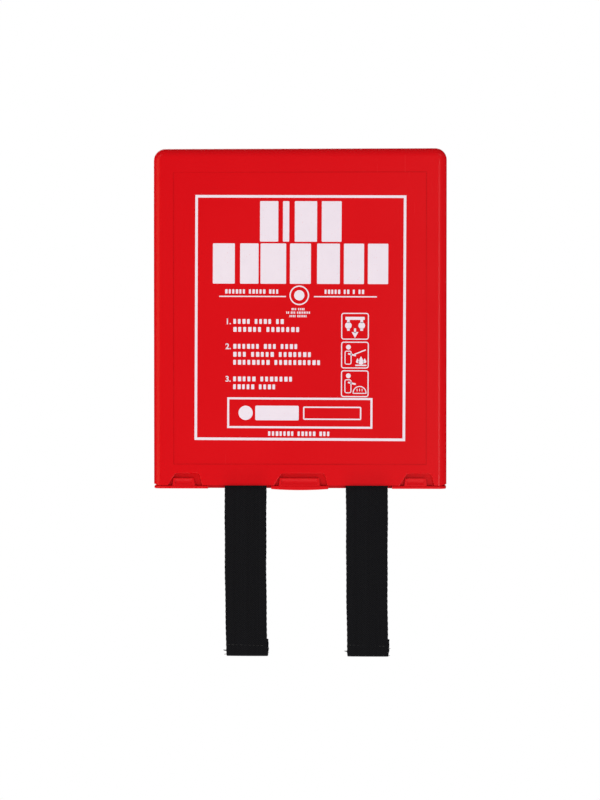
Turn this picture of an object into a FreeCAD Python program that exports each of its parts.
import FreeCAD, Part
import math
import os

# Wall-hung fire blanket in a moulded plastic case. Millimetres, +Z up, +X to the
# right as seen from the front, the front faces -Y and the wall is the plane y = 0.
# The origin is on the back face, midway between the two keyhole heads.

# Case
case_width = 175.0
case_depth = 38.0
cover_height = 201.0
keyholes_below_top = 40.0
wall = 2.0
corner_r = 7.0
front_edge_r = 5.0
mouth_corner_width = 3.4
mouth_corner_height = 0.9

# Moulded panel on the front that takes the printing
panel_side_margin = 12.1
panel_top_margin = 14.4
panel_bottom_margin = 12.6
panel_step = 0.25

# Latch recesses in the cover and the lugs of the flap that stand in them
latch_spacing = 69.2
recess_shift = 2.0
lug_shift = -0.2
recess_depth = 2.2
recess_height = 7.2
recess_wall = 1.6
recess_left_flare = 5.2
recess_right_flare = 2.1
side_recess_width = 14.0
centre_recess_width = 25.5
recess_corner_r = 2.0
recess_edge_r = 0.4
side_lug_width = 12.2
centre_lug_width = 23.4
lug_flare = 0.7
lug_height = 4.3
lug_thickness = 1.5
lug_front_set = 0.3
lug_rim = 1.0
lug_scoop = 0.45

# Back plate
plate_thickness = 2.4
rim_height = 6.0
rim_thickness = 1.4
rim_clearance = 0.15
back_rib_thickness = 1.6
back_rib_inner_x = 22.0
back_rib_outer_x = 66.0
cross_rib_height = 1.4
cross_rib_levels = (-60.0, -110.0)
keyhole_spacing = 100.0
keyhole_head_r = 4.5
keyhole_neck_width = 4.6
keyhole_rise = 8.0
keyhole_boss_wall = 3.0
keyhole_boss_height = 1.4
plate_foot_r = 4.0

# Snap catches that hold the cover on the back plate
catch_length = 10.0
catch_proud = 1.0
catch_depth = 2.0
catch_play = 0.5
side_catch_levels = (-120.0, -50.0, 18.0)
top_catch_spacing = 90.0

# Flap under the case and its hinge
flap_thickness = 1.8
flap_gap = 0.15
flap_end_clearance = 0.2
flap_edge_r = 0.6
thumb_lip_width = 40.0
thumb_lip_drop = 0.9
thumb_lip_depth = 2.0
flap_lip_height = 2.6
flap_lip_thickness = 1.2
flap_lip_clearance = 0.6
hinge_from_wall = 3.5
hinge_above_mouth = 1.0
pin_r = 1.0
pin_snug = 0.02
pin_running = 0.06
knuckle_end_gap = 0.35
knuckle_end_length = 20.0
knuckle_middle_length = 28.0
knuckle_side_clearance = 1.5
flap_rear_clearance = 0.4

# Folded glass-cloth blanket
pack_side_space = 14.5
pack_top_space = 21.0
pack_thickness = 19.0
pack_edge_r = 4.0
pack_above_flap = 12.15
pack_play = 0.4
back_rib_play = 0.3

# Webbing pull tabs
webbing_width = 25.0
webbing_thickness = 1.4
left_tab_x = -32.6
right_tab_x = 40.0
tab_hang = 102.6
tab_hinge_drop = 1.0
tab_root_gap = 0.1
tab_on_pack = 54.0
tab_hem = 8.0
slot_spacing = 72.0
slot_width = 38.0
slot_clearance = 3.0
thread = 0.4
thread_proud = 0.15
box_stitch_side = 19.0
hem_stitch_count = 7

# Printing, as drawn at its usual size. It is scaled to the height of the panel.
ink = 0.1
frame_width = 127.6
frame_height = 147.4
frame_line = 1.8
frame_top_below_panel = 12.9
frame_bottom_above_panel = 13.7
heading_height = 24.3
heading_gap = 1.1
heading_top_blocks = (11.0, 3.8, 13.5, 11.9)
heading_lower_blocks = (13.3, 11.1, 15.4, 12.6, 13.7, 12.1, 12.2)
heading_top_space = 3.0
heading_lower_space = 2.6
heading_below_frame = 3.6
rule_line = 0.6
rule_length = 39.0
rule_from_centre = 9.0
ring_r = 5.9
sign_side = 16.6
sign_line = 0.7
sign_x = 33.4
sign_count = 3
text_height = 3.1
text_left_x = -40.6
text_lengths = ((31.0, 41.0), (40.0, 48.0, 53.5), (36.5, 26.5))
text_row_pitch = 4.7
text_step_pitch = 17.4
label_box_width = 87.8
label_box_height = 19.0
label_box_line = 1.2
label_box_rise = 7.3
label_box_bar_width = 60.0
label_box_bar_height = 6.0

# Positions that follow from the sizes
z_top = keyholes_below_top
z_mouth = z_top - cover_height
y_front = -case_depth
y_plate = -plate_thickness
y_cover_inside = y_front + wall
y_pad = y_front + recess_depth + recess_wall
y_pack_front = y_pad + pack_play
y_pack_back = y_pack_front + pack_thickness
y_rib = y_pack_back + back_rib_play
z_flap_top = z_mouth - flap_gap
z_flap_bottom = z_flap_top - flap_thickness
z_pack_bottom = z_flap_top + pack_above_flap
z_pack_top = z_top - pack_top_space
half_pack = case_width / 2 - pack_side_space
y_hinge = -hinge_from_wall
z_hinge = z_mouth + hinge_above_mouth
knuckle_r = z_hinge - z_flap_bottom
y_flap_rear = y_hinge - knuckle_r - flap_rear_clearance
y_web_back = y_pack_front
y_web_front = y_web_back - webbing_thickness
y_web = (y_web_front + y_web_back) / 2
z_tab_hinge = z_mouth - tab_hinge_drop
y_slot = y_web_back + slot_clearance
y_panel = y_front + panel_step
z_panel_top = z_top - panel_top_margin
z_panel_bottom = z_mouth + panel_bottom_margin
z_frame_top = z_panel_top - frame_top_below_panel
z_frame_bottom = z_panel_bottom + frame_bottom_above_panel
art_scale = (z_frame_top - z_frame_bottom) / frame_height
half_knuckles = case_width / 2 - wall - knuckle_side_clearance
OVER = 1.0


def block(x0, x1, y0, y1, z0, z1):
    """Box between two corners."""
    return Part.makeBox(x1 - x0, y1 - y0, z1 - z0, FreeCAD.Vector(x0, y0, z0))


def rod_x(radius, x0, x1, y, z):
    """Cylinder along X."""
    return Part.makeCylinder(radius, x1 - x0, FreeCAD.Vector(x0, y, z), FreeCAD.Vector(1, 0, 0))


def rod_y(radius, x, y0, y1, z):
    """Cylinder along Y."""
    return Part.makeCylinder(radius, y1 - y0, FreeCAD.Vector(x, y0, z), FreeCAD.Vector(0, 1, 0))


def prism_y(points, y0, y1):
    """Straight-sided outline in X and Z, drawn out from y0 to y1."""
    loop = [FreeCAD.Vector(x, y0, z) for x, z in points]
    face = Part.Face(Part.makePolygon(loop + [loop[0]]))
    return face.extrude(FreeCAD.Vector(0, y1 - y0, 0))


def edges_along(shape, direction, keep):
    """The straight edges of a shape along a direction whose middle passes a test."""
    found = []
    for edge in shape.Edges:
        ends = [v.Point for v in edge.Vertexes]
        if len(ends) != 2 or edge.Curve.TypeId != "Part::GeomLine":
            continue
        if (ends[1] - ends[0]).cross(direction).Length > 1e-6:
            continue
        if keep((ends[0] + ends[1]) * 0.5):
            found.append(edge)
    return found


def case_block(inset, y0, y1, z_low):
    """Block with the case's outline moved in by inset, round at the two top corners."""
    half = case_width / 2 - inset
    top = z_top - inset
    body = block(-half, half, y0, y1, z_low, top)
    corners = edges_along(body, FreeCAD.Vector(0, 1, 0), lambda p: p.z > top - 1e-6)
    return body.makeFillet(corner_r - inset, corners)


def front_rounded(body, radius, y, z_low):
    """Rounds the sides and top of a block's front face, and leaves the lower edge square."""
    edges = []
    for edge in body.Edges:
        ends = [v.Point for v in edge.Vertexes]
        on_front = all(abs(p.y - y) < 1e-6 for p in ends)
        at_bottom = all(abs(p.z - z_low) < 1e-6 for p in ends)
        if on_front and not at_bottom:
            edges.append(edge)
    return body.makeFillet(radius, edges)


def latches():
    """Offset from the middle, recess width and lug width of each latch."""
    yield -latch_spacing, side_recess_width, side_lug_width
    yield 0.0, centre_recess_width, centre_lug_width
    yield latch_spacing, side_recess_width, side_lug_width


def recess_shape(x, width, grow, y0, y1):
    """Round-shouldered shape of a latch recess, wider at the mouth of the case."""
    top = z_mouth + recess_height + grow
    half = width / 2 + grow
    left = x - half - recess_left_flare
    right = x + half + recess_right_flare
    low = z_mouth - OVER
    body = prism_y([(left, low), (right, low), (x + half, top), (x - half, top)], y0, y1)
    shoulders = edges_along(body, FreeCAD.Vector(0, 1, 0), lambda p: p.z > top - 1e-6)
    return body.makeFillet(recess_corner_r, shoulders)


def latch_recesses(cover):
    """Adds the thickening behind each latch recess, then cuts the recess from outside."""
    below = block(-case_width, case_width, y_front - OVER, 0, z_mouth - 2 * OVER, z_mouth)
    for offset, width, lug in latches():
        x = offset + recess_shift
        pad = recess_shape(x, width, recess_wall, y_cover_inside - wall / 2, y_pad)
        cover = cover.fuse(pad.cut(below))
        cover = cover.cut(recess_shape(x, width, 0, y_front - OVER, y_front + recess_depth))
    return soften_recesses(cover)


def soften_recesses(cover):
    """Rounds the front edge of each latch recess."""
    top = z_mouth + recess_height + OVER
    rims = []
    for edge in cover.Edges:
        ends = [v.Point for v in edge.Vertexes]
        on_front = all(abs(p.y - y_front) < 1e-6 for p in ends)
        if on_front and all(p.z < top for p in ends) and max(p.z for p in ends) > z_mouth + 1e-6:
            if all(abs(p.x) < case_width / 2 - front_edge_r - 1e-6 for p in ends):
                rims.append(edge)
    return cover.makeFillet(recess_edge_r, rims)


def cover_ribs(cover):
    """Low ribs inside the front wall that keep the folded cloth off it."""
    for offset in (-latch_spacing, 0, latch_spacing):
        x = offset + recess_shift
        half = back_rib_thickness / 2
        low = z_mouth + recess_height
        rib = block(x - half, x + half, y_cover_inside - wall / 2, y_pad, low, z_top - corner_r)
        cover = cover.fuse(rib)
    return cover


def cover_catches(cover):
    """Snap catches on the inside of the side and top walls."""
    y1 = y_plate - (rim_height - catch_depth) / 2
    y0 = y1 - catch_depth
    half = catch_length / 2
    inside = case_width / 2 - wall
    for z in side_catch_levels:
        for side in (-1, 1):
            xs = sorted((side * (inside + wall / 2), side * (inside - catch_proud)))
            cover = cover.fuse(block(xs[0], xs[1], y0, y1, z - half, z + half))
    for side in (-1, 1):
        x = side * top_catch_spacing / 2
        low = z_top - wall - catch_proud
        cover = cover.fuse(block(x - half, x + half, y0, y1, low, z_top - wall / 2))
    return cover


def cut_mouth_corners(cover):
    """Takes a thin wedge off the lower end of each side wall."""
    half = case_width / 2
    low, high = z_mouth - OVER, z_mouth + mouth_corner_height
    for side in (-1, 1):
        inner = side * (half - mouth_corner_width)
        wedge = [(inner, z_mouth), (side * half, high), (side * (half + OVER), high)]
        wedge += [(side * (half + OVER), low), (inner, low)]
        cover = cover.cut(prism_y(wedge, y_front - OVER, y_plate + OVER))
    return cover


def front_cover():
    """Moulded shell: front, two sides and top. It is open at the back and underneath."""
    outer = case_block(0, y_front, y_plate, z_mouth)
    outer = front_rounded(outer, front_edge_r, y_front, z_mouth)
    inner = case_block(wall, y_cover_inside, y_plate + OVER, z_mouth - OVER)
    inner = front_rounded(inner, front_edge_r - wall, y_cover_inside, z_mouth - OVER)
    cover = outer.cut(inner)
    half = case_width / 2
    cover = cut_mouth_corners(cover)
    px = half - panel_side_margin
    cover = cover.cut(block(-px, px, y_front - OVER, y_panel, z_panel_bottom, z_panel_top))
    cover = cover_ribs(cover)
    cover = latch_recesses(cover)
    return cover_catches(cover)


def keyhole(x, y0, y1, grow):
    """Round head at the bottom, narrow neck above it. grow makes the boss around it."""
    head = rod_y(keyhole_head_r + grow, x, y0, y1, 0)
    half = keyhole_neck_width / 2 + grow
    neck = block(x - half, x + half, y0, y1, 0, keyhole_rise)
    return head.fuse(neck).fuse(rod_y(half, x, y0, y1, keyhole_rise))


def knuckle_spans():
    """Lengths along X of the plate's knuckles and of the flap's knuckles."""
    middle = knuckle_middle_length / 2
    end = half_knuckles - knuckle_end_length
    plate = ((-half_knuckles, -end), (-middle, middle), (end, half_knuckles))
    near = middle + knuckle_end_gap
    far = end - knuckle_end_gap
    flap = ((-far, -near), (near, far))
    return plate, flap


def plate_rim(plate):
    """Rim that stands inside the cover's walls, with a window for each snap catch."""
    start = wall + rim_clearance
    y0 = y_plate - rim_height
    z0 = z_mouth + recess_height
    rim = case_block(start, y0, y_plate, z0)
    rim = rim.cut(case_block(start + rim_thickness, y0 - OVER, y_plate, z0 - OVER))
    half = catch_length / 2 + catch_play
    w1 = y_plate - (rim_height - catch_depth) / 2 + catch_play
    w0 = w1 - catch_depth - 2 * catch_play
    for z in side_catch_levels:
        rim = rim.cut(block(-case_width, case_width, w0, w1, z - half, z + half))
    for side in (-1, 1):
        x = side * top_catch_spacing / 2
        rim = rim.cut(block(x - half, x + half, w0, w1, z_top / 2, z_top))
    return plate.fuse(rim)


def plate_ribs(plate):
    """Tall ribs that hold the folded cloth forward, and low ribs across them."""
    half = back_rib_thickness / 2
    low = z_pack_bottom
    high = z_top - wall - rim_clearance - rim_thickness / 2
    for x in (-back_rib_outer_x, -back_rib_inner_x, back_rib_inner_x, back_rib_outer_x):
        plate = plate.fuse(block(x - half, x + half, y_rib, y_plate / 2, low, high))
    for z in cross_rib_levels:
        y0 = y_plate - cross_rib_height
        cross = block(-back_rib_outer_x, back_rib_outer_x, y0, y_plate / 2, z - half, z + half)
        plate = plate.fuse(cross)
    return plate


def back_plate():
    """Flat moulded back with keyholes, ribs and the fixed half of the hinge."""
    plate = case_block(0, y_plate, 0, z_flap_bottom)
    feet = edges_along(plate, FreeCAD.Vector(0, 1, 0), lambda p: p.z < z_flap_bottom + 1e-6)
    plate = plate.makeFillet(plate_foot_r, feet)
    plate = plate_rim(plate)
    plate = plate_ribs(plate)
    for side in (-1, 1):
        x = side * keyhole_spacing / 2
        boss = keyhole(x, y_plate - keyhole_boss_height, y_plate / 2, keyhole_boss_wall)
        plate = plate.fuse(boss)
        plate = plate.cut(keyhole(x, y_plate - rim_height, OVER, 0))
    own, other = knuckle_spans()
    for x0, x1 in own:
        plate = plate.fuse(rod_x(knuckle_r, x0, x1, y_hinge, z_hinge))
    z_clear = z_hinge + knuckle_r + flap_rear_clearance
    gap = knuckle_end_gap
    for x0, x1 in other:
        notch = block(x0 - gap, x1 + gap, y_plate - OVER, OVER, z_flap_bottom - OVER, z_clear)
        plate = plate.cut(notch)
    hole = rod_x(pin_r + pin_snug, -case_width, case_width, y_hinge, z_hinge)
    return plate.cut(hole)


def hinge_pin():
    """Steel wire through all the knuckles."""
    half = half_knuckles - knuckle_end_gap
    return rod_x(pin_r, -half, half, y_hinge, z_hinge)


def flap_lug(x, width):
    """Latch lug with a dished face between two side rims."""
    top = z_mouth + lug_height
    y0 = y_front + lug_front_set
    y1 = y0 + lug_thickness
    half = width / 2
    foot = half + lug_flare
    low = z_flap_top - flap_thickness / 2
    lug = prism_y([(x - foot, low), (x + foot, low), (x + half, top), (x - half, top)], y0, y1)
    shoulders = edges_along(lug, FreeCAD.Vector(0, 1, 0), lambda p: p.z > top - 1e-6)
    lug = lug.makeFillet(lug_rim / 2, shoulders)
    chord = (lug_height - lug_rim) / 2
    radius = (chord * chord + lug_scoop * lug_scoop) / (2 * lug_scoop)
    inner = half - lug_rim
    centre_y = y0 + lug_scoop - radius
    scoop = rod_x(radius, x - inner, x + inner, centre_y, z_mouth + lug_height / 2)
    return lug.cut(scoop)


def thumb_lip():
    """Shallow curved lip under the middle of the flap's front edge."""
    half = thumb_lip_width / 2
    radius = (half * half + thumb_lip_drop * thumb_lip_drop) / (2 * thumb_lip_drop)
    y1 = y_front + thumb_lip_depth
    z = z_flap_bottom - thumb_lip_drop + radius
    arc = rod_y(radius, lug_shift, y_front, y1, z)
    middle = z_flap_bottom + flap_thickness / 2
    return arc.common(block(-2 * half, 2 * half, y_front, y1, z_flap_bottom - half, middle))


def rim_softened(plate):
    """Rounds the upper and lower edges along the front and the ends of the flap."""
    edges = []
    for edge in plate.Edges:
        ends = [v.Point for v in edge.Vertexes]
        level = len(ends) == 2 and abs(ends[0].z - ends[1].z) < 1e-6
        behind = all(p.y > y_front + front_edge_r + 1e-6 for p in ends)
        inside = all(abs(p.x) < case_width / 2 - 2 * front_edge_r and p.y > y_front + 1e-6 for p in ends)
        if level and not behind and not inside:
            edges.append(edge)
    return plate.makeFillet(flap_edge_r, edges)


def bottom_flap():
    """Hinged floor of the case, with latch lugs in front and slots for the pull tabs."""
    half = case_width / 2 - flap_end_clearance
    plate = block(-half, half, y_front, y_flap_rear, z_flap_bottom, z_flap_top)
    corners = edges_along(plate, FreeCAD.Vector(0, 0, 1), lambda p: p.y < y_front + 1e-6)
    plate = plate.makeFillet(front_edge_r, corners)
    plate = rim_softened(plate.fuse(thumb_lip()))
    for side in (-1, 1):
        x = side * slot_spacing / 2
        s = slot_width / 2
        low = z_flap_bottom - OVER
        plate = plate.cut(block(x - s, x + s, y_front - OVER, y_slot, low, z_flap_top + OVER))
    own, other = knuckle_spans()
    for x0, x1 in other:
        arm = block(x0, x1, y_flap_rear - OVER, y_hinge, z_flap_bottom, z_flap_top)
        plate = plate.fuse(arm).fuse(rod_x(knuckle_r, x0, x1, y_hinge, z_hinge))
    for offset, recess, lug in latches():
        plate = plate.fuse(flap_lug(offset + lug_shift, lug))
    lip = case_width / 2 - wall - flap_lip_clearance
    y0 = y_pad + flap_lip_thickness
    y1 = y_flap_rear - flap_lip_thickness
    for side in (-1, 1):
        xs = sorted((side * lip, side * (lip - flap_lip_thickness)))
        low = z_flap_top - flap_thickness / 2
        plate = plate.fuse(block(xs[0], xs[1], y0, y1, low, z_flap_top + flap_lip_height))
    return plate.cut(rod_x(pin_r + pin_running, -half, half, y_hinge, z_hinge))


def blanket():
    """The cloth folded into a flat pack."""
    size = (-half_pack, half_pack, y_pack_front, y_pack_back, z_pack_bottom, z_pack_top)
    pack = block(*size)
    return pack.makeFillet(pack_edge_r, pack.Edges)


def tab_root(x):
    """Length of webbing inside the case, lying on the front of the folded cloth."""
    half = webbing_width / 2
    low = z_tab_hinge + webbing_thickness / 2 + tab_root_gap
    top = z_pack_bottom + tab_on_pack
    return block(x - half, x + half, y_web_front, y_web_back, low, top)


def tab_box_stitch(x):
    """Square of stitching with a cross in it, which sews the webbing to the cloth."""
    half = box_stitch_side / 2
    z = z_pack_bottom + tab_on_pack - half - thread * 4
    y0 = y_web_front - thread_proud
    seam = []
    for side in (-1, 1):
        edge = x + side * half
        seam.append(block(edge - thread, edge + thread, y0, y_web_front, z - half, z + half))
        level = z + side * half
        seam.append(block(x - half, x + half, y0, y_web_front, level - thread, level + thread))
        diagonal = half * math.sqrt(2) - thread
        bar = block(-diagonal, diagonal, y0, y_web_front, -thread, thread)
        bar.rotate(FreeCAD.Vector(0, 0, 0), FreeCAD.Vector(0, 1, 0), 45 * side)
        bar.translate(FreeCAD.Vector(x, 0, z))
        seam.append(bar)
    return seam[0].multiFuse(seam[1:])


def pull_tab(x):
    """Hanging length of webbing, turned up behind itself at the lower end."""
    half = webbing_width / 2
    end = z_mouth - tab_hang
    strap = block(x - half, x + half, y_web_front, y_web_back, end, z_tab_hinge)
    strap = strap.fuse(rod_x(webbing_thickness / 2, x - half, x + half, y_web, z_tab_hinge))
    turn = block(x - half, x + half, y_web, y_web_back + webbing_thickness, end, end + tab_hem)
    return strap.fuse(turn)


def tab_hem_stitch(x):
    """Row of stitches across the turned-up end."""
    half = webbing_width / 2
    pitch = webbing_width / hem_stitch_count
    z = z_mouth - tab_hang + tab_hem - 3 * thread
    row = []
    for i in range(hem_stitch_count):
        middle = x - half + pitch * (i + 0.5)
        low, high = middle - pitch * 0.35, middle + pitch * 0.35
        y0 = y_web_front - thread_proud
        row.append(block(low, high, y0, y_web_front, z - thread / 2, z + thread / 2))
    return Part.makeCompound(row)


def mark(x0, x1, z0, z1, y0=y_panel - ink, y1=y_panel):
    """Filled rectangle on the panel, measured from the middle of the border's top edge."""
    k = art_scale
    return block(x0 * k, x1 * k, y0, y1, z_frame_top + z0 * k, z_frame_top + z1 * k)


def outline(x0, x1, z0, z1, line):
    """Rectangle of ink with an open middle."""
    inner = mark(x0 + line, x1 - line, z0 + line, z1 - line, y_panel - OVER, y_panel + OVER)
    return mark(x0, x1, z0, z1).cut(inner)


def ring(radius, line, z):
    """Ring of ink on the middle line."""
    k = art_scale
    disc = rod_y(radius * k, 0, y_panel - ink, y_panel, z_frame_top + z * k)
    return disc.cut(rod_y((radius - line) * k, 0, y_panel - OVER, y_panel, z_frame_top + z * k))


def heading(widths, space, top):
    """Row of tall plain blocks, centred."""
    x = -(sum(widths) + space * (len(widths) - 1)) / 2
    row = []
    for width in widths:
        row.append(mark(x, x + width, top - heading_height, top))
        x += width + space
    return row


def front_print():
    """White printing on the panel: border, heading blocks, steps, signs and lower box."""
    half = frame_width / 2
    inks = [outline(-half, half, -frame_height, 0, frame_line)]
    z = -heading_below_frame
    inks += heading(heading_top_blocks, heading_top_space, z)
    z -= heading_height + heading_gap
    inks += heading(heading_lower_blocks, heading_lower_space, z)
    z -= heading_height + heading_gap + ring_r
    for side in (-1, 1):
        xs = sorted((side * rule_from_centre, side * (rule_from_centre + rule_length)))
        inks.append(mark(xs[0], xs[1], z - rule_line / 2, z + rule_line / 2))
    inks.append(ring(ring_r, sign_line, z))
    z -= ring_r + text_height
    for i in range(sign_count):
        x0 = sign_x - sign_side / 2
        z1 = z - i * (sign_side + sign_line / 2)
        inks.append(outline(x0, x0 + sign_side, z1 - sign_side, z1, sign_line))
    for i, lengths in enumerate(text_lengths):
        for j, length in enumerate(lengths):
            z1 = z - text_height - i * text_step_pitch - j * text_row_pitch
            inks.append(mark(text_left_x, text_left_x + length, z1 - text_height, z1))
    half = label_box_width / 2
    z = -frame_height + label_box_rise
    inks.append(outline(-half, half, z, z + label_box_height, label_box_line))
    bar = label_box_bar_width / 2
    middle = z + label_box_height / 2
    tall = label_box_bar_height / 2
    inks.append(mark(-bar, bar, middle - tall, middle + tall))
    return Part.makeCompound(inks)


def save(name, shape):
    """Writes one node."""
    shape.exportStep("parts/" + name + ".step")
    print(name, len(shape.Solids), "solids", round(shape.Volume / 1000, 2), "cm3")


os.makedirs("parts", exist_ok=True)
save("front_cover", front_cover())
save("front_print", front_print())
save("back_plate", back_plate())
save("hinge_pin", hinge_pin())
save("bottom_flap", bottom_flap())
save("blanket", blanket())
for side, tab_x in (("left", left_tab_x), ("right", right_tab_x)):
    save(side + "_tab_root", tab_root(tab_x))
    save(side + "_tab_box_stitch", tab_box_stitch(tab_x))
    save(side + "_tab", pull_tab(tab_x))
    save(side + "_tab_hem_stitch", tab_hem_stitch(tab_x))
